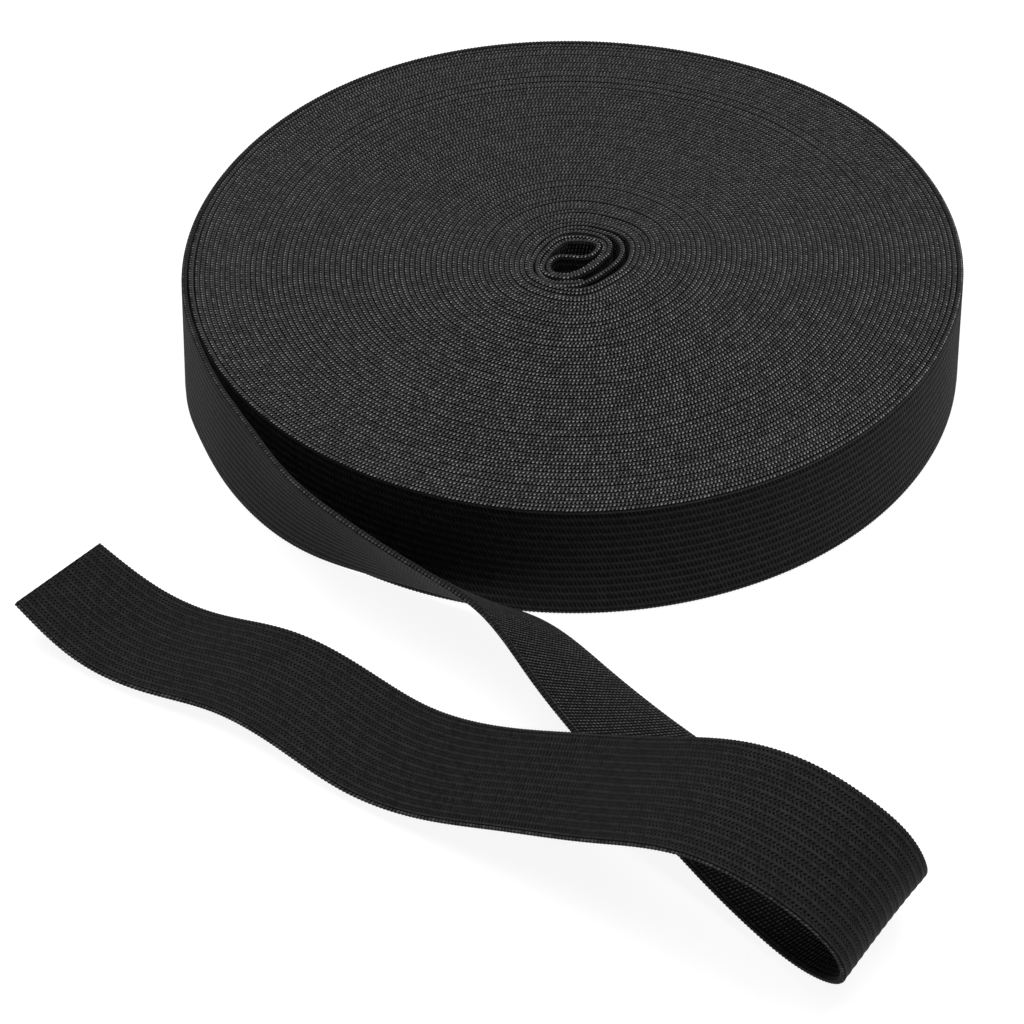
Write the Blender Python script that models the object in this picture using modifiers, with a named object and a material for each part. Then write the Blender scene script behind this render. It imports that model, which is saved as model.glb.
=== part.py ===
"""A coreless roll of flat knitted elastic, lying on its side wall, with one loose end.

The roll is wound up from one 25.4 mm wide length of elastic that starts on itself in an S, so two
through-holes the shape of drops are left at its middle. The end of the length leaves the roll at
its left, stands on edge beside it, leans out and lands flat on the surface, turns back over itself
in a loop and runs to a square cut.

Units are metres, +Z is up. The shapes are worked out about the roll's axis and then moved
together, so that the origin is under the middle of the whole object, on the surface.
"""

import math

import bmesh
import bpy
import numpy as np
from mathutils import Vector

MM = 0.001

# Driving dimensions of the elastic and its roll
WIDTH = 25.4 * MM             # a one inch elastic: also the roll's height
THICKNESS = 1.08 * MM         # one layer, and so one turn of the roll
ROLL_RADIUS = 78.5 * MM       # outside of the last turn, where the loose end leaves it
LEAVE_DEG = 199.9             # direction from the roll's axis in which the loose end leaves
RIM_ROUND = 0.35 * MM         # soft edge of the knitted selvedge
OUTLINE_STEPS = 240           # straight pieces in the roll's outline

# The eye of the S start. It is two drops: the table gives one of them in mm from the eye's middle,
# and the other is the same one turned half way round. Columns: x, y
EYE_MIDDLE = (0.2 * MM, 0.4 * MM)
EYE_DROP = (
    (4.45, 3.3),              # round end
    (4.0, 4.5),
    (2.6, 5.0),
    (0.3, 5.1),               # along the first turn
    (-2.4, 3.9),
    (-4.1, 1.7),
    (-5.2, -0.6),
    (-5.2, -1.3),             # narrow end
    (-4.5, -0.5),
    (-3.0, 0.55),             # back along the S
    (-1.2, 0.85),
    (1.4, 0.6),
    (3.2, 1.2),
)
EYE_SMOOTH = 5                # straight pieces between two points of a drop

# The loose end, a row for each place where it bends. Columns: x, y, z of its middle line, mm from
# the foot of the roll's axis; then the direction from its middle line to the edge that is the top
# one on the roll, as an azimuth and an elevation in degrees
LOOSE_END = (
    (-73.5, -27.0, 13.4, 200, 90),     # leaves the roll, on edge
    (-68.0, -41.5, 13.4, 212, 89),
    (-60.0, -54.7, 13.4, 222, 84),     # starts to lean out
    (-49.4, -66.1, 13.5, 228, 75),
    (-36.9, -75.4, 13.9, 234, 64),
    (-23.8, -83.7, 13.7, 236, 54),
    (-11.2, -92.6, 12.4, 235, 42),     # seen edge on from the front
    (-0.6, -103.2, 9.0, 231, 31),
    (9.6, -114.5, 5.8, 227, 23),       # inner face turned up
    (20.0, -125.9, 3.8, 225, 14),      # the upper run crosses here
    (30.2, -137.3, 1.9, 223, 5),
    (40.3, -148.7, 1.0, 223, -1),      # flat on the surface
    (49.0, -158.8, 4.7, 227, -11),     # turns up
    (52.6, -164.8, 11.5, 233, -15),
    (50.6, -166.0, 18.8, 238, -16),    # end of the loop
    (44.0, -164.4, 25.6, 240.5, -13.5),
    (35.0, -160.0, 29.2, 240.5, -11.5),    # top of the loop
    (24.6, -153.5, 28.4, 240, -10),
    (9.8, -143.8, 21.0, 239, -7),
    (-6.0, -133.2, 11.8, 237.5, -5),
    (-20.0, -124.0, 5.4, 236.5, -3.5),
    (-32.3, -115.5, 3.0, 236, 0),
    (-45.0, -106.5, 3.7, 236, 2),      # a low wave
    (-58.0, -97.6, 4.1, 237, 2),
    (-71.0, -89.9, 2.2, 237.5, 4),     # touches the surface
    (-84.0, -81.9, 2.3, 237.5, 6),
    (-95.9, -73.4, 6.8, 239, 11),      # square cut
)
RUN_STEPS = 190               # faces along the loose end
ACROSS_STEPS = 6              # faces across its width

ROLL_COLOUR = (0.030, 0.030, 0.032, 1.0)
ROLL_ROUGHNESS = 0.85
LOOSE_COLOUR = (0.022, 0.022, 0.024, 1.0)
LOOSE_ROUGHNESS = 0.80
CAP_WELD = 0.01 * MM          # joins a filled curve's loose caps to its wall
SHARP_DEG = 50.0              # an edge that bends by more than this is a rim


def new_collection(name):
    """A new collection, linked to the scene."""
    collection = bpy.data.collections.new(name)
    bpy.context.scene.collection.children.link(collection)
    return collection


def elastic_material(name, colour, roughness):
    """Knitted polyester over rubber threads: dark, matt and not metallic."""
    material = bpy.data.materials.new(name)
    material.use_nodes = True
    shader = material.node_tree.nodes["Principled BSDF"]
    shader.inputs["Base Color"].default_value = colour
    shader.inputs["Roughness"].default_value = roughness
    shader.inputs["Metallic"].default_value = 0.0
    return material


def smooth_rows(knots, rows, at):
    """Cubic spline with free ends through the rows, which stand at the knots, read at many places.

    The second derivatives at the knots solve the usual three-term equations, with zero at both
    ends; between two knots the value is the straight blend of the rows plus the cubic terms.
    """
    gaps = np.diff(knots)
    count = len(knots)
    matrix = np.eye(count)
    for i in range(1, count - 1):
        matrix[i, i - 1:i + 2] = (gaps[i - 1], 2.0 * (gaps[i - 1] + gaps[i]), gaps[i])
    slopes = np.diff(rows, axis=0) / gaps[:, None]
    right = np.zeros_like(rows)
    right[1:-1] = 6.0 * np.diff(slopes, axis=0)
    bends = np.linalg.solve(matrix, right)
    k = np.clip(np.searchsorted(knots, at, side="right") - 1, 0, count - 2)
    gap = gaps[k][:, None]
    a = (knots[k + 1] - at)[:, None] / gap
    b = 1.0 - a
    cubic = (a ** 3 - a) * bends[k] + (b ** 3 - b) * bends[k + 1]
    return a * rows[k] + b * rows[k + 1] + cubic * gap ** 2 / 6.0


def loose_end_surface(steps, across):
    """Points of the middle surface of the loose end, as an array of steps + 1 by across + 1.

    The middle line is the spline through the table. Across it the surface is straight: each point
    is the middle line plus a share of the width along the edge direction, made square to the run.
    """
    table = np.array(LOOSE_END, dtype=float)
    middle = table[:, :3] * MM
    knots = np.concatenate(([0.0], np.cumsum(np.linalg.norm(np.diff(middle, axis=0), axis=1))))
    at = np.linspace(0.0, knots[-1], steps + 1)
    line = smooth_rows(knots, middle, at)
    azimuth, elevation = np.radians(smooth_rows(knots, table[:, 3:], at)).T
    edge = np.stack(
        (np.cos(elevation) * np.cos(azimuth), np.cos(elevation) * np.sin(azimuth), np.sin(elevation)),
        axis=1,
    )
    run = np.gradient(line, at, axis=0)
    run /= np.linalg.norm(run, axis=1)[:, None]
    edge -= np.sum(edge * run, axis=1)[:, None] * run
    edge /= np.linalg.norm(edge, axis=1)[:, None]
    share = np.linspace(-0.5, 0.5, across + 1)
    return line[:, None, :] + WIDTH * share[None, :, None] * edge[:, None, :]


def roll_outline():
    """Outline of the last turn: a spiral that loses one thickness in a full turn, back to its step."""
    points = []
    for i in range(OUTLINE_STEPS + 1):
        turn = i / OUTLINE_STEPS
        angle = math.radians(LEAVE_DEG - 360.0 * turn)
        radius = ROLL_RADIUS - THICKNESS * turn
        points.append((radius * math.cos(angle), radius * math.sin(angle)))
    return points


def add_poly_spline(curve, points):
    """A closed spline of straight pieces through flat points."""
    spline = curve.splines.new("POLY")
    spline.points.add(len(points) - 1)
    for point, (x, y) in zip(spline.points, points):
        point.co = (x, y, 0.0, 1.0)
    spline.use_cyclic_u = True


def add_smooth_spline(curve, points):
    """A closed Bezier spline with automatic handles through flat points."""
    spline = curve.splines.new("BEZIER")
    spline.bezier_points.add(len(points) - 1)
    for point, (x, y) in zip(spline.bezier_points, points):
        point.co = (x, y, 0.0)
        point.handle_left_type = "AUTO"
        point.handle_right_type = "AUTO"
    spline.resolution_u = EYE_SMOOTH
    spline.use_cyclic_u = True


def round_edges(item, width, segments):
    """Rounds the rims of a piece, and leaves its smooth faces alone."""
    bevel = item.modifiers.new("Soft edge", "BEVEL")
    bevel.width = width
    bevel.segments = segments
    bevel.limit_method = "ANGLE"
    bevel.angle_limit = math.radians(SHARP_DEG)


def make_wound_roll(collection, parent):
    """The wound part: one solid with the spiral's outline, its step and the eye of the S start."""
    curve = bpy.data.curves.new("wound_roll", "CURVE")
    curve.dimensions = "2D"
    curve.fill_mode = "BOTH"
    curve.extrude = WIDTH / 2.0
    add_poly_spline(curve, roll_outline())
    for sign in (1.0, -1.0):
        drop = [
            (EYE_MIDDLE[0] + sign * x * MM, EYE_MIDDLE[1] + sign * y * MM) for x, y in EYE_DROP
        ]
        add_smooth_spline(curve, drop)
    curve.materials.append(elastic_material("elastic_roll", ROLL_COLOUR, ROLL_ROUGHNESS))
    roll = bpy.data.objects.new("wound_roll", curve)
    collection.objects.link(roll)
    roll.parent = parent
    roll.location = (0.0, 0.0, WIDTH / 2.0)
    weld = roll.modifiers.new("Close caps", "WELD")
    weld.merge_threshold = CAP_WELD
    round_edges(roll, RIM_ROUND, 2)
    return roll


def make_loose_end(collection, parent):
    """The loose end: a grid laid on its middle surface, thickened to both sides."""
    surface = loose_end_surface(RUN_STEPS, ACROSS_STEPS)
    mesh = bpy.data.meshes.new("loose_end")
    grid = bmesh.new()
    bmesh.ops.create_grid(grid, x_segments=RUN_STEPS, y_segments=ACROSS_STEPS, size=0.5)
    for vertex in grid.verts:
        step = round((vertex.co.x + 0.5) * RUN_STEPS)
        share = round((vertex.co.y + 0.5) * ACROSS_STEPS)
        vertex.co = Vector(surface[step, share])
    grid.to_mesh(mesh)
    grid.free()
    mesh.materials.append(elastic_material("elastic_loose_end", LOOSE_COLOUR, LOOSE_ROUGHNESS))
    mesh.shade_smooth()
    tail = bpy.data.objects.new("loose_end", mesh)
    collection.objects.link(tail)
    tail.parent = parent
    solid = tail.modifiers.new("Thickness", "SOLIDIFY")
    solid.thickness = THICKNESS
    solid.offset = 0.0
    round_edges(tail, RIM_ROUND, 1)
    return tail


def centre_over_origin(parent, pieces):
    """Moves the whole object so that the middle of its box stands over the origin."""
    bpy.context.view_layer.update()
    graph = bpy.context.evaluated_depsgraph_get()
    points = []
    for piece in pieces:
        shown = piece.evaluated_get(graph)
        mesh = shown.to_mesh()
        points += [shown.matrix_world @ vertex.co for vertex in mesh.vertices]
        shown.to_mesh_clear()
    for axis in (0, 1):
        values = [point[axis] for point in points]
        parent.location[axis] = -(min(values) + max(values)) / 2.0
    bpy.context.view_layer.update()


def build():
    """Clears the scene's objects and makes the reel."""
    for item in list(bpy.data.objects):
        bpy.data.objects.remove(item, do_unlink=True)
    collection = new_collection("reel_of_elastic")
    axis_foot = bpy.data.objects.new("axis_foot", None)
    collection.objects.link(axis_foot)
    pieces = [make_wound_roll(collection, axis_foot), make_loose_end(collection, axis_foot)]
    centre_over_origin(axis_foot, pieces)


build()
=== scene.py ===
"""The reel of elastic, dressed for its photograph.

One length of black knitted elastic is wound from an S-shaped start into a coreless roll of about
69 turns. Its loose end leaves the roll at the left, stands on edge, leans out, lands on the floor,
turns back over itself in a loop and runs to a square cut.

The whole length is one smooth line with a direction across it. Lengths are in millimetres from
the roll's axis until the points go into a mesh. Along the line, "run" goes from the start in the
eye to the square cut, "edge" goes from the middle to the edge that is uppermost on the roll, and
"out" is run x edge, the way that the outer face looks. Turns are counted inwards from the leaving
point, where the loose end leaves the roll.
"""

import math

import bpy
import numpy as np
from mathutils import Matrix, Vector


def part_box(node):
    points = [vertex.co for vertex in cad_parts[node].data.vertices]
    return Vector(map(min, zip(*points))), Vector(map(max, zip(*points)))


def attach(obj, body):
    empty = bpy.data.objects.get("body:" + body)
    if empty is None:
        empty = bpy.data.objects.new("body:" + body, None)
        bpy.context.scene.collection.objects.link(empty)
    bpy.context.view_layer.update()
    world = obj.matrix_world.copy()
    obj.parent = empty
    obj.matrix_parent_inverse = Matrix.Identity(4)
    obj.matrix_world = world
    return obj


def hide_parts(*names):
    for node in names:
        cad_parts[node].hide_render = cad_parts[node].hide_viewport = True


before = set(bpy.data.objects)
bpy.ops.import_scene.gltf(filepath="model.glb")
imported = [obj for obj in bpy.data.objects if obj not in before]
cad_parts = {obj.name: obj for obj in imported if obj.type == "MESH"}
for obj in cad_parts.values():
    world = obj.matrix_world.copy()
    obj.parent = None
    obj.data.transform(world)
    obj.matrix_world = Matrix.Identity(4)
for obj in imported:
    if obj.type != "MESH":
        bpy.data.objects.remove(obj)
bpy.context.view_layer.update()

MM = 0.001

# The elastic
WIDTH = 25.4
THICKNESS = 1.08              # one layer of the last turn and of the loose end
LAYER = 0.98                  # one pressed layer inside the roll
STITCH = 0.757                # one stitch along the elastic
RIBS = 14                     # lengthwise ribs across it
RIB = WIDTH / RIBS
LIGHT_LINE = 10.69            # where the smooth line of one rib runs, from the middle
BEAD = (11.92, 12.05)         # where the bead of the selvedge begins, from the middle
RIM = 0.32                    # how far the selvedge is rounded
RIB_HEIGHT = 0.05             # how far a rib stands out of the outer face
STITCH_HEIGHT = 0.09          # how far a stitch stands out of the rim

# The roll
ROLL_RADIUS = 78.5
REACH_LEFT = 78.44            # from the axis to the left side of the CAD roll's box
REACH_FRONT = 77.63           # from the axis to the front of that box
LEAVE_DEG = 199.9             # direction of the leaving point
EYE = (0.2, 0.4)              # middle of the eye
EYE_TURNS = 65                # whole turns from the leaving point in to the eye's table
EYE_JOIN_DEG = 150.0          # direction in which the winding meets that table
EYE_JOIN_RADIUS = 10.1        # mean radius of the winding there
WOUND_TURNS = EYE_TURNS + (LEAVE_DEG - EYE_JOIN_DEG) / 360.0
PER_TURN = 48                 # rows of the wound part in a turn
LAST_ROW = 0.012              # least turns from the last of these rows to the leaving point
RISING_ROWS = 24              # rows in which the wound part comes to the loose end's height
START_RAISED = 0.3            # how far the start of the length stands off the floor
SEAM_TURNS = 30.0 / 360.0     # turns at which the last turn and the loose strip meet
MIDDLE_TURNS = 31.0           # turns at which the two wound pieces meet

# Places of rings along the wound part
FINE_PLACES = 60001           # places at which its bend is read
SAG = 0.006                   # how far a step may cut inside the bend
SMALLEST_BEND = 0.005         # per mm
STEPS = (0.30, 1.9)           # shortest and longest step

# Start of the length: from its cut end between the first turns, in to the middle of the eye and
# out again as the first two turns and a half. Columns: x, y of its middle line
EYE_LINE = (
    (1.3, -7.4), (0.3, -7.7), (-0.9, -8.0), (-2.2, -8.1), (-3.8, -8.1), (-5.3, -7.7), (-6.3, -7.0),
    (-7.1, -5.9), (-7.6, -4.6), (-7.8, -3.1), (-7.7, -1.3), (-7.3, 0.4), (-6.8, 1.5), (-5.9, 3.0),
    (-5.1, 4.5), (-4.1, 5.8), (-2.8, 6.7), (-1.8, 7.0), (-0.2, 7.2), (1.2, 7.1), (2.6, 6.7),
    (4.0, 6.2), (4.8, 5.7), (5.4, 4.8), (5.6, 3.7), (5.4, 2.5), (4.8, 0.8), (4.0, -0.6),
    (3.3, -1.3), (2.8, -2.1), (1.9, -3.1), (0.8, -4.2), (-0.3, -4.9), (-1.3, -5.5), (-2.3, -5.6),
    (-3.5, -5.5), (-4.5, -5.3), (-5.2, -4.6), (-5.6, -3.7), (-5.6, -2.7), (-5.3, -1.3),
    (-4.7, -0.3), (-3.8, 0.4), (-2.8, 0.6), (-1.8, 0.5), (-0.7, 0.5), (0.3, 0.3), (1.5, 0.4),
    (2.5, 0.8), (3.3, 1.5), (4.0, 2.7), (4.4, 3.9), (4.2, 4.8), (3.4, 5.5), (2.2, 5.8), (1.0, 6.0),
    (-0.2, 6.0), (-1.4, 5.9), (-2.4, 5.6), (-3.1, 5.0), (-3.9, 4.0), (-4.6, 3.1), (-5.4, 1.6),
    (-6.1, 0.1), (-6.5, -1.2), (-6.8, -2.4), (-6.9, -3.4), (-6.6, -4.6), (-6.0, -5.3),
    (-5.3, -5.8), (-4.1, -6.3), (-3.1, -6.5), (-2.1, -6.6), (-1.3, -6.4), (-0.5, -6.0),
    (0.2, -5.6), (1.2, -4.8), (2.0, -4.1), (2.8, -3.4), (3.8, -2.2), (4.8, -0.7), (5.4, 0.3),
    (6.0, 1.1), (6.5, 2.6), (6.7, 3.9), (6.6, 5.0), (6.2, 5.9), (5.5, 6.8), (4.6, 7.6), (3.4, 8.2),
    (1.8, 8.7), (0.4, 8.9), (-1.0, 8.9), (-2.4, 8.5), (-3.2, 8.2), (-4.4, 7.2), (-6.2, 5.2),
    (-6.9, 4.0), (-7.6, 2.7), (-8.1, 1.3), (-8.6, -0.2), (-9.1, -2.1), (-8.9, -4.9), (-7.8, -6.8),
    (-5.1, -8.8), (-2.4, -9.3), (0.2, -8.9), (2.3, -7.6), (4.0, -6.1), (5.3, -4.7), (6.5, -3.3),
    (7.7, -1.6), (8.7, 0.4), (9.2, 2.8), (8.8, 5.3), (7.3, 7.5), (5.1, 8.8), (0.2, 10.2),
    (-4.5, 8.6),
)

# How far the turns stand out from round, by direction: degrees, then mm beside the eye, mm a
# little farther out and mm at the outside
BULGES = (
    (0, -0.60, 0.00, -0.70), (30, 1.05, 1.15, 0.65), (50, 1.10, 0.75, 1.10),
    (62, 0.85, 0.35, 0.80), (85, 0.35, 0.25, 0.40), (120, -0.50, -0.30, 0.75),
    (155, -1.05, -0.80, -0.10), (190, -0.20, 0.00, 0.50), (215, 1.30, 1.10, 0.80),
    (245, 1.00, 0.90, 0.50), (275, 0.10, 0.65, -0.12), (310, -1.30, -1.00, -1.35),
    (340, -1.20, -0.55, -1.50),
)

# Where the outer turns sit farther in: turns, and how many gaps farther in. Each rise leaves a dark
# gap between two turns
SLACK_TURNS = (0.0, 0.3, 0.6, 1.0, 1.7, 2.0, 2.7, 3.0, 12.0)
SLACK_GAPS = (0.0, 0.0, 0.9, 0.9, 2.3, 2.3, 3.0, 3.0, 0.0)
GAP = 0.06
GAP_MORE_IN_FRONT = 0.26      # what the left and front add to it

# The loose end. Columns: x, y, z of its middle line, then the azimuth and the elevation of "edge"
LOOSE_END = (
    (-74.1, -27.1, 12.9, 200, 90.9),
    (-68.0, -41.5, 13.0, 212, 89),
    (-59.9, -54.4, 12.9, 222, 84.9),
    (-49.6, -66.6, 13.3, 228, 73.4),
    (-37.0, -76.1, 13.5, 234, 61.4),
    (-23.7, -84.2, 13.3, 236, 51.5),
    (-10.5, -92.4, 12.6, 235, 41.3),
    (-0.2, -102.9, 9.1, 231, 32.3),
    (10.1, -114.2, 6.1, 227, 24.6),
    (20.5, -125.6, 4.2, 225, 15.2),
    (30.7, -136.9, 2.3, 223, 6.5),
    (40.8, -148.4, 1.5, 223, 0.7),
    (49.2, -158.2, 4.8, 227, -10.2),
    (52.6, -164.2, 11.6, 233, -14.9),
    (50.7, -165.4, 18.9, 238, -16.5),
    (44.2, -163.6, 25.8, 240.5, -14.3),
    (35.3, -159.1, 29.4, 240.5, -12.1),
    (24.8, -152.8, 28.7, 240, -9.3),
    (9.7, -143.4, 21.1, 239, -7),
    (-6.3, -132.9, 12.0, 237.5, -4.4),
    (-20.5, -124.3, 5.4, 236.5, -2.7),
    (-32.9, -116.3, 2.8, 236, -0.5),
    (-45.3, -106.9, 3.7, 236, 1),
    (-58.3, -98.2, 4.0, 237, 1.8),
    (-71.8, -91.7, 2.1, 237.5, 3.5),
    (-85.1, -83.8, 2.3, 237.5, 5),
    (-96.2, -76.2, 7.2, 239.5, 9.4),
)
LOOP_ROW = 15                 # row of this table, from 0, in the middle of the loop

# The camera: place and aim in metres, lens and film in millimetres
CAMERA_PLACE = (0.01226, -0.49867, 0.43576)
CAMERA_AIM = (0.00045, 0.00076, 0.0)
CAMERA_LENS = 119.9
FILM_WIDTH = 36.0

# The soft lights, which all face the middle of the floor: name, place and side in metres, power
# in watts
LIGHTS = (
    ("top", (0.0, 0.15, 1.2), 1.2, 19.6),
    ("front", (-0.35, -1.0, 0.5), 0.5, 0.6),
    ("right", (1.0, 0.1, 0.35), 0.6, 1.7),
)
ROOM_LIGHT = 0.08


def smooth_rows(knots, rows, at):
    """Cubic spline with free ends through the rows, which stand at the knots, read at many places.

    The second derivatives at the knots solve the usual three-term equations, with zero at both
    ends; they are found by one pass down the rows and one back up. Between two knots the value is
    the straight blend of the rows plus the cubic terms.
    """
    gaps = np.diff(knots)
    count = len(knots)
    right = np.zeros_like(rows)
    right[1:-1] = 6.0 * np.diff(np.diff(rows, axis=0) / gaps[:, None], axis=0)
    bends = np.zeros_like(rows)
    share = np.zeros(count)
    for i in range(1, count - 1):
        pivot = 2.0 * (gaps[i - 1] + gaps[i]) - gaps[i - 1] * share[i - 1]
        share[i] = gaps[i] / pivot
        bends[i] = (right[i] - gaps[i - 1] * bends[i - 1]) / pivot
    for i in range(count - 2, 0, -1):
        bends[i] -= share[i] * bends[i + 1]
    k = np.clip(np.searchsorted(knots, at, side="right") - 1, 0, count - 2)
    gap = gaps[k][:, None]
    a = (knots[k + 1] - at)[:, None] / gap
    b = 1.0 - a
    cubic = (a ** 3 - a) * bends[k] + (b ** 3 - b) * bends[k + 1]
    return a * rows[k] + b * rows[k + 1] + cubic * gap ** 2 / 6.0


def turning(degrees, table, column):
    """A column of a table read at directions in degrees, going smoothly round from row to row."""
    table = np.array(table, dtype=float)
    around = np.concatenate((table[-4:, 0] - 360.0, table[:, 0], table[:4, 0] + 360.0))
    values = np.concatenate((table[-4:, column], table[:, column], table[:4, column]))
    return smooth_rows(around, values[:, None], np.mod(degrees, 360.0))[:, 0]


def smooth_share(low, high, value):
    """0 below low, 1 above high, and an S curve between them."""
    x = np.clip((value - low) / (high - low), 0.0, 1.0)
    return x * x * (3.0 - 2.0 * x)


def running_mean(values, count):
    """The mean of each value with its neighbours, this many in all."""
    return np.convolve(values, np.ones(count) / count, mode="same")


def lean(turns):
    """Degrees by which the last turn leans in at its upper edge, most at the left and right.

    A constant plus a share of the direction's squared cosine. It fades out in the turn's first
    fifth, so the turns inside it stand upright.
    """
    across = np.cos(np.radians(LEAVE_DEG - 360.0 * turns)) ** 2
    return (0.4 + 1.5 * across) * (1.0 - smooth_share(0.80, 1.0, turns))


def turn_radius(turns):
    """Radius of the middle line, by turns.

    The last turn loses one thickness. Inside it the mean radius falls evenly to the eye's table.
    Bulges are added that change smoothly from the eye to the outside, and the slack of the outer
    turns is taken off, which is more at the left and front. The last turn leans, so its middle
    stands farther out than its upper edge.
    """
    degrees = LEAVE_DEG - 360.0 * turns
    outside = ROLL_RADIUS - THICKNESS / 2.0
    pitch = (outside - THICKNESS - EYE_JOIN_RADIUS) / (WOUND_TURNS - 1.0)
    mean = outside - THICKNESS * np.minimum(turns, 1.0) - pitch * np.maximum(turns - 1.0, 0.0)
    near = turning(degrees, BULGES, 1)
    far = turning(degrees, BULGES, 2)
    edge = turning(degrees, BULGES, 3)
    blend = smooth_share(6.0, 12.0, mean)
    fade = 0.5 * (1.0 + np.cos(math.pi * np.clip((mean - 12.0) / 60.0, 0.0, 1.0)))
    bulge = fade * (near + (far - near) * blend) + (1.0 - fade) * edge
    front = smooth_share(165.0, 200.0, np.mod(degrees, 360.0))
    front *= 1.0 - smooth_share(285.0, 325.0, np.mod(degrees, 360.0))
    slack = np.interp(turns, SLACK_TURNS, SLACK_GAPS) * (GAP + GAP_MORE_IN_FRONT * front)
    foot = WIDTH / 2.0 * np.sin(np.radians(lean(turns)))
    return mean + bulge + foot - slack


def winding_rows():
    """Rows of the wound part from the eye's table out to the leaving point, evenly by direction.

    Each turn stands at least one layer outside the one before it. The turns stand a little off
    the floor, more so beside the eye, and wave up and down by chance: a running sum of random
    steps, less its own mean over two turns, then smoothed.
    """
    turns = np.arange(WOUND_TURNS, LAST_ROW, -1.0 / PER_TURN)
    radius = turn_radius(turns)
    for i in range(PER_TURN, len(radius)):
        radius[i] = max(radius[i], radius[i - PER_TURN] + LAYER + 0.02)
    angle = np.radians(LEAVE_DEG - 360.0 * turns)
    draw = np.random.default_rng(5)
    lift = np.cumsum(draw.normal(0.0, 1.0, len(turns)))
    lift -= running_mean(lift, 2 * PER_TURN + 1)
    lift = running_mean(lift, 9)
    lift *= (0.04 + 0.16 * (1.0 - smooth_share(10.0, 26.0, radius))) / np.std(lift)
    lift *= smooth_share(0.0, 1.0, turns)
    raised = 0.14 + 0.20 * (1.0 - smooth_share(20.0, 50.0, radius))
    waving = smooth_share(6.0, 15.0, radius)
    off_axis = 1.0 - smooth_share(8.0, 60.0, radius)
    rows = np.zeros((len(turns), 5))
    rows[:, 0] = radius * np.cos(angle) + EYE[0] * off_axis
    rows[:, 1] = radius * np.sin(angle) + EYE[1] * off_axis
    rows[:, 2] = WIDTH / 2.0 + raised + waving * np.clip(lift, 0.05 - raised, 0.3)
    rows[:, 3] = LEAVE_DEG - 360.0 * turns
    rows[:, 4] = 90.0 + lean(turns)
    return rows


def whole_length():
    """Knots and rows of the whole length, and the knots of its wound part.

    A row is x, y, z of the middle line and the azimuth and elevation of "edge". A knot is its
    place along the length: the sum of the straight steps up to it.
    """
    start = np.zeros((len(EYE_LINE), 5))
    start[:, :2] = EYE_LINE
    start[:, 2:] = (WIDTH / 2.0 + START_RAISED, 200.0, 90.0)
    wound = winding_rows()
    end = np.array(LOOSE_END, dtype=float)
    share = smooth_share(0.0, RISING_ROWS, np.arange(float(RISING_ROWS)))
    wound[-RISING_ROWS:, 2] += (end[0, 2] - wound[-RISING_ROWS:, 2]) * share
    rows = np.concatenate((start, wound, end))
    steps = np.linalg.norm(np.diff(rows[:, :3], axis=0), axis=1)
    knots = np.concatenate(([0.0], np.cumsum(steps)))
    return knots, rows, knots[len(start):len(start) + len(wound)]


KNOTS, ROWS, TURN_KNOTS = whole_length()
LENGTH = KNOTS[-1]
LEAVING = KNOTS[-len(LOOSE_END)]
LOOP_MIDDLE = KNOTS[LOOP_ROW - len(LOOSE_END)]


def place_of_turn(turns):
    """Place along the length, by turns."""
    counted = WOUND_TURNS - np.arange(len(TURN_KNOTS)) / PER_TURN
    return float(np.interp(-turns, -counted, TURN_KNOTS))


def length_at(at):
    """Middle line, run, edge and out at places along the length.

    Run is the way from just behind a place to just ahead of it. Edge is the direction that its
    azimuth and elevation give, less its part along run.
    """
    rows = smooth_rows(KNOTS, ROWS, at)
    ahead = smooth_rows(KNOTS, ROWS[:, :3], at + 0.05)
    behind = smooth_rows(KNOTS, ROWS[:, :3], at - 0.05)
    run = ahead - behind
    run /= np.linalg.norm(run, axis=1)[:, None]
    azimuth, elevation = np.radians(rows[:, 3:]).T
    edge = np.stack(
        (np.cos(elevation) * np.cos(azimuth), np.cos(elevation) * np.sin(azimuth), np.sin(elevation)),
        axis=1,
    )
    edge -= np.sum(edge * run, axis=1)[:, None] * run
    edge /= np.linalg.norm(edge, axis=1)[:, None]
    return rows[:, :3], run, edge, np.cross(run, edge)


def section(outer, rim, inner, thickness):
    """Outline of the elastic cut across: v across it and t through it, in order round it.

    The outer face goes up, the upper rim goes over to the inner face, that goes down, and the
    lower rim goes back. A rim is half a flattened circle.
    """
    half = WIDTH / 2.0 - RIM
    rise = np.linspace(-half, half, outer)
    turn = np.linspace(math.pi / 2.0, -math.pi / 2.0, rim + 2)[1:-1]
    over = half + RIM * np.cos(turn) ** 0.7
    fall = np.linspace(half, -half, inner)
    v = np.concatenate((rise, over, fall, -over))
    t = np.concatenate(
        (np.full(outer, 0.5), 0.5 * np.sin(turn), np.full(inner, -0.5), -0.5 * np.sin(turn))
    )
    return v, t * thickness


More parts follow.
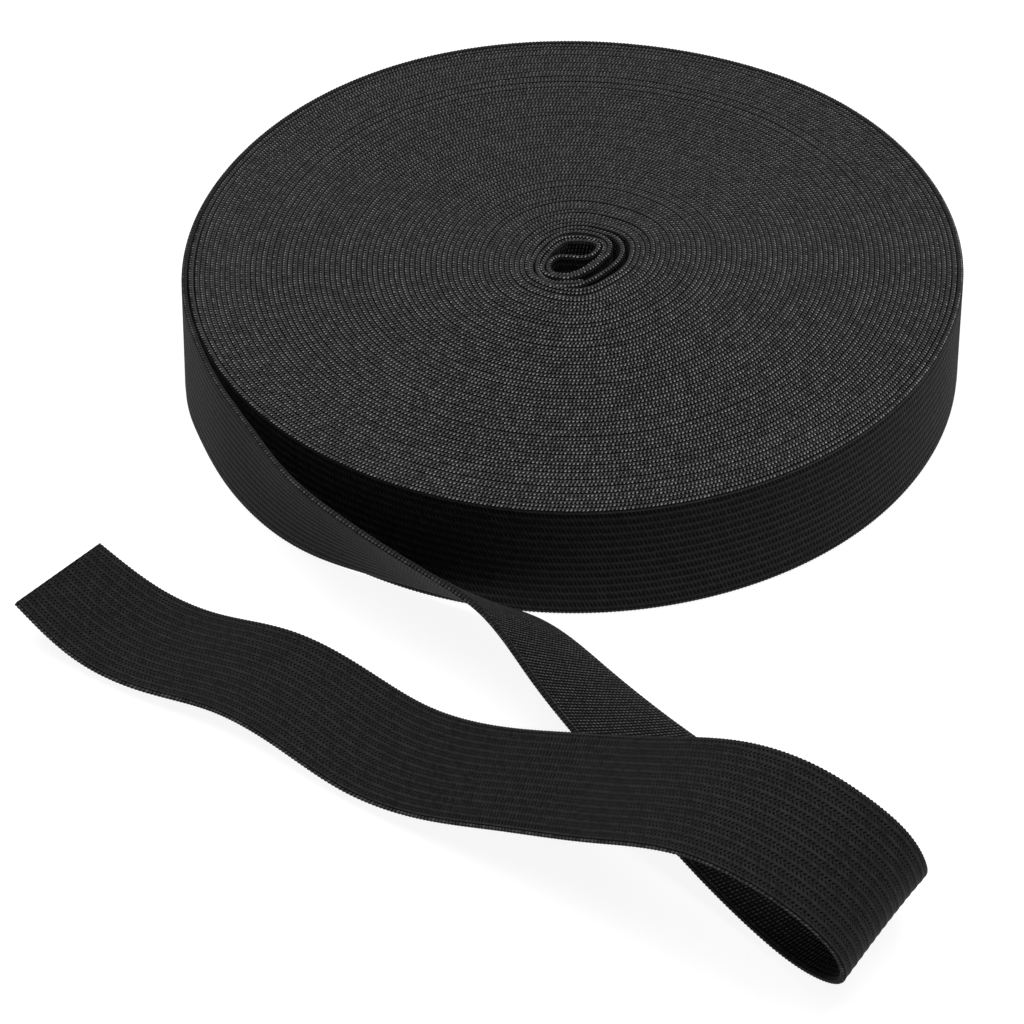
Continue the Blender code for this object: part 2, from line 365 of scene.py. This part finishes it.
def mesh_of_rings(name, points, rings, count):
    """A mesh of rings of this many points each, in metres.

    Two neighbouring rings are joined by four-sided faces, and the two ends are closed by flat
    caps. The second value is the point that each corner of a face stands on.
    """
    i, j = np.meshgrid(np.arange(rings - 1), np.arange(count), indexing="ij")
    k = (j + 1) % count
    quads = np.stack(
        (i * count + j, (i + 1) * count + j, (i + 1) * count + k, i * count + k), axis=-1
    ).reshape(-1, 4)
    caps = np.concatenate((np.arange(count)[::-1], (rings - 1) * count + np.arange(count)))
    corners = np.concatenate((quads.ravel(), caps))
    starts = np.concatenate((np.arange(len(quads)) * 4, len(quads) * 4 + np.array((0, count))))
    mesh = bpy.data.meshes.new(name)
    mesh.vertices.add(len(points))
    mesh.vertices.foreach_set("co", points.astype(np.float32).ravel())
    mesh.loops.add(len(corners))
    mesh.loops.foreach_set("vertex_index", corners.astype(np.int32))
    mesh.polygons.add(len(starts))
    mesh.polygons.foreach_set("loop_start", starts.astype(np.int32))
    mesh.update(calc_edges=True)
    mesh.validate()
    smooth = np.ones(len(mesh.polygons), dtype=bool)
    smooth[-2:] = False
    mesh.polygons.foreach_set("use_smooth", smooth)
    return mesh, corners


def add_strip(name, at, outline, relief, thickness):
    """A closed length of elastic between two places, from rings of one outline.

    Ring i stands square across the length at place i. A point of it is the middle line plus v
    along edge plus t along out, and the relief adds to v and t. The mesh keeps the place and v of
    each point as its UV map, and t over the thickness as its attribute "depth".
    """
    v, t = outline
    centre, run, edge, out = length_at(at)
    rings, count = len(at), len(v)
    u = np.repeat(at[:, None], count, axis=1)
    more_v, more_t = relief(u, v[None, :], t[None, :] / thickness)
    high = v[None, :] + more_v
    deep = t[None, :] + more_t
    points = centre[:, None] + high[..., None] * edge[:, None] + deep[..., None] * out[:, None]
    points = points.reshape(-1, 3) * MM + np.array(AXIS_FOOT)
    mesh, corners = mesh_of_rings(name, points, rings, count)
    where = np.stack((u, np.repeat(v[None, :], rings, axis=0)), axis=-1).reshape(-1, 2)
    uv = mesh.uv_layers.new(name="along and across")
    uv.data.foreach_set("uv", where[corners].astype(np.float32).ravel())
    depth = mesh.attributes.new("depth", "FLOAT", "POINT")
    through = np.repeat(t[None, :] / thickness, rings, axis=0)
    depth.data.foreach_set("value", through.astype(np.float32).ravel())
    item = bpy.data.objects.new(name, mesh)
    bpy.context.scene.collection.objects.link(item)
    return item


def fine_relief(u, v, t):
    """Ribs on the outer face and stitches on the rim.

    A rib is a cosine of v that moves only the outer face, and a stitch is a cosine of u that
    moves only the rim, away from the middle.
    """
    face = np.clip(t * 2.0, 0.0, 1.0) ** 4
    rim = smooth_share(WIDTH / 2.0 - RIM - 0.05, WIDTH / 2.0 - 0.1, np.abs(v))
    rib = np.cos(2.0 * math.pi * (v - LIGHT_LINE) / RIB)
    stitch = np.cos(2.0 * math.pi * u / STITCH)
    more_t = face * RIB_HEIGHT * rib * (1.0 - rim)
    more_v = rim * np.sign(v) * STITCH_HEIGHT * stitch
    return more_v, more_t


def plain_relief(u, v, t):
    """No relief."""
    return np.zeros_like(u + v), np.zeros_like(u + t)


def places(first, last, step):
    """Places from first to last. Between them they are whole steps, so that stitches line up."""
    inside = np.arange(math.floor(first / step) + 1, math.ceil(last / step)) * step
    inside = inside[(inside > first + 0.2 * step) & (inside < last - 0.2 * step)]
    return np.concatenate(([first], inside, [last]))


def wound_places(first, last):
    """Places along the wound part, closer together where it bends more.

    A step is the chord that cuts inside an arc of that bend by the sag, within its limits.
    """
    fine = np.linspace(first, last, FINE_PLACES)
    rows = smooth_rows(KNOTS, ROWS[:, :2], fine)
    run = np.gradient(rows, fine, axis=0)
    bend = np.gradient(np.unwrap(np.arctan2(run[:, 1], run[:, 0])), fine)
    step = np.sqrt(8.0 * SAG / np.maximum(np.abs(bend), SMALLEST_BEND))
    step = np.clip(step, *STEPS)
    counted = np.concatenate(([0.0], np.cumsum(np.diff(fine) / step[1:])))
    return np.interp(np.linspace(0.0, counted[-1], int(counted[-1]) + 1), counted, fine)


class Reading:
    """A number or colour in a finish. A sum written with it becomes Math nodes."""

    def __init__(self, finish, socket):
        self.finish = finish
        self.socket = socket

    def math(self, operation, *values):
        """A Math node on these values."""
        node = self.finish.tree.nodes.new("ShaderNodeMath")
        node.operation = operation
        for slot, value in zip(node.inputs, values):
            self.finish.feed(slot, value)
        return Reading(self.finish, node.outputs[0])

    def __add__(self, other):
        return self.math("ADD", self, other)

    __radd__ = __add__

    def __sub__(self, other):
        return self.math("SUBTRACT", self, other)

    def __rsub__(self, other):
        return self.math("SUBTRACT", other, self)

    def __mul__(self, other):
        return self.math("MULTIPLY", self, other)

    __rmul__ = __mul__

    def __truediv__(self, other):
        return self.math("DIVIDE", self, other)

    def size(self):
        """The number without its sign."""
        return self.math("ABSOLUTE", self)

    def whole(self):
        """The whole number below it."""
        return self.math("FLOOR", self)

    def wave(self):
        """1 at every whole number and -1 half way between them."""
        return self.math("COSINE", self * (2.0 * math.pi))

    def rise(self, low, high):
        """0 below low, 1 above high, and an S curve between them."""
        settings = {"interpolation_type": "SMOOTHSTEP"}
        inputs = {"Value": self, "From Min": low, "From Max": high}
        return self.finish.node("ShaderNodeMapRange", settings, inputs, "Result")

    def toward(self, other, share):
        """This number at share 0 and the other at share 1."""
        return self + (other - self) * share


class Finish:
    """A material and the way its nodes are made."""

    def __init__(self, name, roughness, gloss):
        self.material = bpy.data.materials.new(name)
        self.material.use_nodes = True
        self.tree = self.material.node_tree
        self.shader = self.tree.nodes["Principled BSDF"]
        self.shader.inputs["Roughness"].default_value = roughness
        self.shader.inputs["Specular IOR Level"].default_value = gloss

    def feed(self, socket, value):
        """Links a reading to a socket, or sets the socket to a plain value."""
        if isinstance(value, Reading):
            self.tree.links.new(value.socket, socket)
        else:
            socket.default_value = value

    def node(self, kind, settings, inputs, output):
        """A node of any kind: its settings first, then its sockets, and the output that is read."""
        node = self.tree.nodes.new(kind)
        for name, value in settings.items():
            setattr(node, name, value)
        for name, value in inputs.items():
            self.feed(node.inputs[name], value)
        return Reading(self, node.outputs[output])

    def chance(self, one, other):
        """A number from 0 to 1 drawn for each pair of whole numbers."""
        pair = self.node("ShaderNodeCombineXYZ", {}, {"X": one, "Y": other}, "Vector")
        settings = {"noise_dimensions": "2D"}
        return self.node("ShaderNodeTexWhiteNoise", settings, {"Vector": pair}, "Value")

    def grey(self, light):
        """The grey of this lightness: a mix of black and white."""
        black, white = (0.0, 0.0, 0.0, 1.0), (1.0, 1.0, 1.0, 1.0)
        inputs = {0: light, 6: black, 7: white}
        return self.node("ShaderNodeMix", {"data_type": "RGBA"}, inputs, 2)


def stitches(millimetres):
    """A length along the elastic, counted in stitches."""
    return millimetres / STITCH


def outer_face(knit, along, across, rib):
    """Lightness and height of the outer face.

    A smooth light line runs along each rib, and the bead beside the rim is lighter than the
    lines. Where the elastic lies flat, one row of dark leaning stitch holes fills the band
    between two lines, bolder in the band beside the bead. Where it is stretched, over the loop
    and towards the cut, the band has two rows of holes that lean apart, half a stitch out of
    step. Just before the strip twists the face is a little lighter, a painted sheen for the
    glancing reflection of the bright floor there. A hole is a wave along the elastic above a
    limit that chance moves for each stitch.
    """
    place_in_rib = rib - rib.whole()
    from_line = 0.5 - (place_in_rib - 0.5).size()
    stretched = 1.0 - (along - stitches(LOOP_MIDDLE)).size().rise(45.0, 85.0)
    stretched = stretched + along.rise(stitches(LENGTH - 130.0), stitches(LENGTH - 60.0))
    # Painted sheen: the face is made lighter just before the twist, where it catches the bright floor
    # at a low angle.
    painted_twist_sheen = 1.0 - (along - stitches(LEAVING + 92.0)).size().rise(5.0, 60.0)
    leaning = along + (place_in_rib - 0.5) * 0.88
    parted = along + (place_in_rib - 0.5).size() * 1.3 + 0.5 * place_in_rib.rise(0.48, 0.52)
    drawn = knit.chance(leaning.whole(), (rib * 2.0).whole())
    bead = across.size().rise(*BEAD)
    bold = across.size().rise(10.85, 10.95)
    one_row = 0.45 + 0.55 * from_line.rise(0.10, 0.34)
    one_row = one_row * (leaning.wave() + 0.5 * bold + 0.6 * (drawn - 0.5)).rise(-0.30, 0.60)
    two_rows = 1.0 - (from_line - 0.30).size().rise(0.09, 0.17)
    two_rows = two_rows * (parted.wave() + 0.8 * (drawn - 0.5)).rise(-0.10, 0.60)
    hole = one_row.toward(two_rows, stretched) * (1.0 - 0.6 * bead)
    line = (1.0 - from_line.rise(0.05, 0.17)).toward(2.2, bead)
    # The 0.025 term is painted sheen before the twist; the rest is the yarn's own lightness.
    yarn_and_twist_sheen = 0.0143 + 0.0022 * stretched + 0.025 * painted_twist_sheen + 0.012 * (drawn - 0.5)
    light = (yarn_and_twist_sheen + (0.0085 - 0.0060 * stretched) * line) * (1.0 - 0.92 * hole)
    return light, 0.04 * line - 0.20 * hole


def inner_face(knit, along, across, rib):
    """Lightness and height of the inner face.

    Light slanting bars, one for each stitch and half rib, are cut by dark lines between the half
    ribs. On the bead they are twice as many. Inside the loop they are darker, which is painted
    shade for the shadow there, and chance makes some lighter than others.
    """
    half_rib = rib * 2.0
    from_gap = 0.5 - (half_rib - half_rib.whole() - 0.5).size()
    slanting = along + across * 0.25
    bead = across.size().rise(*BEAD)
    bar = slanting.wave().rise(-0.20, 0.70) * from_gap.rise(0.08, 0.28)
    bar = bar.toward((slanting * 2.0).wave().rise(-0.60, 0.40), bead)
    drawn = knit.chance((slanting + 0.5).whole(), half_rib.whole())
    # Painted shade: the bars are darker inside the loop, where the loop shades its own inside.
    painted_loop_shade = 1.0 - (along - stitches(LOOP_MIDDLE)).size().rise(70.0, 100.0)
    light = 0.002 + (0.032 + 0.055 * drawn) * bar * (1.0 - 0.40 * painted_loop_shade)
    return light, 0.20 * bar


def rim_face(knit, along, across, depth):
    """Lightness and height of the rim.

    A row of bright dots, one for each stitch, runs beside the outer face: real stitches whose
    brightness is a painted glint. Beside the inner face runs a grey band that dark ticks cut half
    a stitch later. Chance makes some dots and ticks bolder. Along the last turn the rim grows
    duller and its dots longer, as on the loose end.
    """
    loose = along.rise(stitches(LEAVING - 450.0), stitches(LEAVING - 60.0))
    stitch = along + depth * 0.45
    drawn = knit.chance((stitch + 0.5).whole(), (across * 0.02).whole())
    row = 1.0 - (depth - 0.24).size().rise(0.11, 0.21)
    dot = row * (stitch.wave() + 0.5 * drawn + 0.8 * loose).rise(0.25, 0.85)
    band = 1.0 - (depth + 0.20).size().rise(0.17, 0.26)
    tick = band * ((stitch + 0.5).wave() + 0.8 * (drawn - 0.5)).rise(-0.30, 0.40)
    # Painted glint: the brightness of the dots stands in for light glinting on the stitches.
    dot_painted_glint = (0.095 + 0.160 * drawn) * (1.0 - 0.62 * loose)
    band_light = (0.043 + 0.018 * drawn - 0.036 * tick) * (1.0 - 0.55 * loose)
    return 0.003 + band_light * band + dot * dot_painted_glint, 0.12 * dot - 0.10 * tick


def elastic_finish():
    """The knit: how light it is, yarn plus painted sheen, shade and glint, and how high it stands in
    mm, at each place.

    The finish reads the place along the elastic in stitches, the place across it in mm, and the
    depth through it. The outer face, the inner face and the rim each have their own pattern. A
    slight sheen lightens the knit where it is seen at a low angle.
    """
    knit = Finish("knitted_elastic", 0.75, 0.05)
    place = knit.node("ShaderNodeUVMap", {"uv_map": "along and across"}, {}, "UV")
    along = knit.node("ShaderNodeSeparateXYZ", {}, {"Vector": place}, "X") / STITCH
    across = knit.node("ShaderNodeSeparateXYZ", {}, {"Vector": place}, "Y")
    depth = knit.node("ShaderNodeAttribute", {"attribute_name": "depth"}, {}, "Fac")
    rib = (across - LIGHT_LINE) / RIB
    outer_light, outer_high = outer_face(knit, along, across, rib)
    inner_light, inner_high = inner_face(knit, along, across, rib)
    rim_light, rim_high = rim_face(knit, along, across, depth)
    facing_out = depth.rise(-0.05, 0.05)
    on_rim = across.size().rise(WIDTH / 2.0 - RIM - 0.04, WIDTH / 2.0 - RIM + 0.10)
    light = inner_light.toward(outer_light, facing_out).toward(rim_light, on_rim)
    high = inner_high.toward(outer_high, facing_out).toward(rim_high, on_rim)
    normal = knit.node("ShaderNodeBump", {}, {"Height": high, "Distance": MM}, "Normal")
    knit.feed(knit.shader.inputs["Sheen Weight"], 0.05)
    knit.feed(knit.shader.inputs["Sheen Roughness"], 0.30)
    knit.feed(knit.shader.inputs["Base Color"], knit.grey(light))
    knit.feed(knit.shader.inputs["Normal"], normal)
    return knit.material


def floor_finish():
    """The pale floor, which glows a little so that shadows on it stay faint."""
    pale = Finish("floor", 0.9, 0.0)
    pale.feed(pale.shader.inputs["Base Color"], (0.25, 0.25, 0.25, 1.0))
    pale.feed(pale.shader.inputs["Emission Color"], (1.0, 1.0, 1.0, 1.0))
    pale.feed(pale.shader.inputs["Emission Strength"], 0.90)
    return pale.material


def add_floor():
    """The plain pale floor, a square of 4 metres."""
    mesh = bpy.data.meshes.new("floor")
    mesh.from_pydata([(-2, -2, 0), (2, -2, 0), (2, 2, 0), (-2, 2, 0)], [], [(0, 1, 2, 3)])
    floor = bpy.data.objects.new("floor", mesh)
    bpy.context.scene.collection.objects.link(floor)
    mesh.materials.append(floor_finish())


def facing(place, aim):
    """The turn that makes a light or a camera at a place face the aim."""
    return (Vector(aim) - Vector(place)).to_track_quat("-Z", "Y").to_euler()


def add_light(name, place, size, power):
    """A square soft light at a place, turned to face the middle of the floor."""
    data = bpy.data.lights.new(name, "AREA")
    data.shape = "SQUARE"
    data.size = size
    data.energy = power
    light = bpy.data.objects.new(name, data)
    light.location = place
    light.rotation_euler = facing(place, (0.0, 0.0, 0.0))
    bpy.context.scene.collection.objects.link(light)


def add_room_light():
    """A faint even light from all round."""
    world = bpy.data.worlds.new("studio")
    world.use_nodes = True
    background = world.node_tree.nodes["Background"]
    background.inputs["Color"].default_value = (1.0, 1.0, 1.0, 1.0)
    background.inputs["Strength"].default_value = ROOM_LIGHT
    bpy.context.scene.world = world


def add_camera():
    """The photograph's camera: from the front, looking down on the roll."""
    data = bpy.data.cameras.new("camera")
    data.lens = CAMERA_LENS
    data.sensor_width = FILM_WIDTH
    camera = bpy.data.objects.new("camera", data)
    camera.location = CAMERA_PLACE
    camera.rotation_euler = facing(CAMERA_PLACE, CAMERA_AIM)
    bpy.context.scene.collection.objects.link(camera)
    bpy.context.scene.camera = camera


# The roll's axis stands where the CAD roll's box puts it
roll_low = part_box("wound_roll")[0]
AXIS_FOOT = (roll_low[0] + REACH_LEFT * MM, roll_low[1] + REACH_FRONT * MM, 0.0)

seam_out = place_of_turn(SEAM_TURNS)
seam_in = place_of_turn(1.0 + SEAM_TURNS)
seam_middle = place_of_turn(MIDDLE_TURNS)

pressed = section(2, 5, 2, LAYER)
core = add_strip(
    "core_turns", wound_places(0.0, seam_middle), pressed, plain_relief, LAYER
)
outer = add_strip(
    "outer_turns", wound_places(seam_middle, seam_in), pressed, plain_relief, LAYER
)
wall = add_strip(
    "last_turn", places(seam_in, seam_out, STITCH / 2.0), section(RIBS * 4 + 1, 7, 2, THICKNESS),
    fine_relief, THICKNESS
)
tail = add_strip(
    "loose_strip", places(seam_out, LENGTH, STITCH / 2.0), section(RIBS * 4 + 1, 7, 9, THICKNESS),
    fine_relief, THICKNESS
)

knit = elastic_finish()
for item, slot, node, held, flat in (
    (core, "elastic_roll", "wound_roll", "folded", seam_middle),
    (outer, "elastic_roll", "wound_roll", "folded", seam_in - seam_middle),
    (wall, "elastic_roll", "wound_roll", "folded", seam_out - seam_in),
    (tail, "elastic_loose_end", "loose_end", "laid", LENGTH - seam_out),
):
    item.data.materials.append(knit)
    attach(item, "root")
    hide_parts(node)
    flat * MM

add_floor()
add_camera()
for name, place, size, power in LIGHTS:
    add_light(name, place, size, power)
add_room_light()
bpy.context.scene.view_settings.view_transform = "Standard"
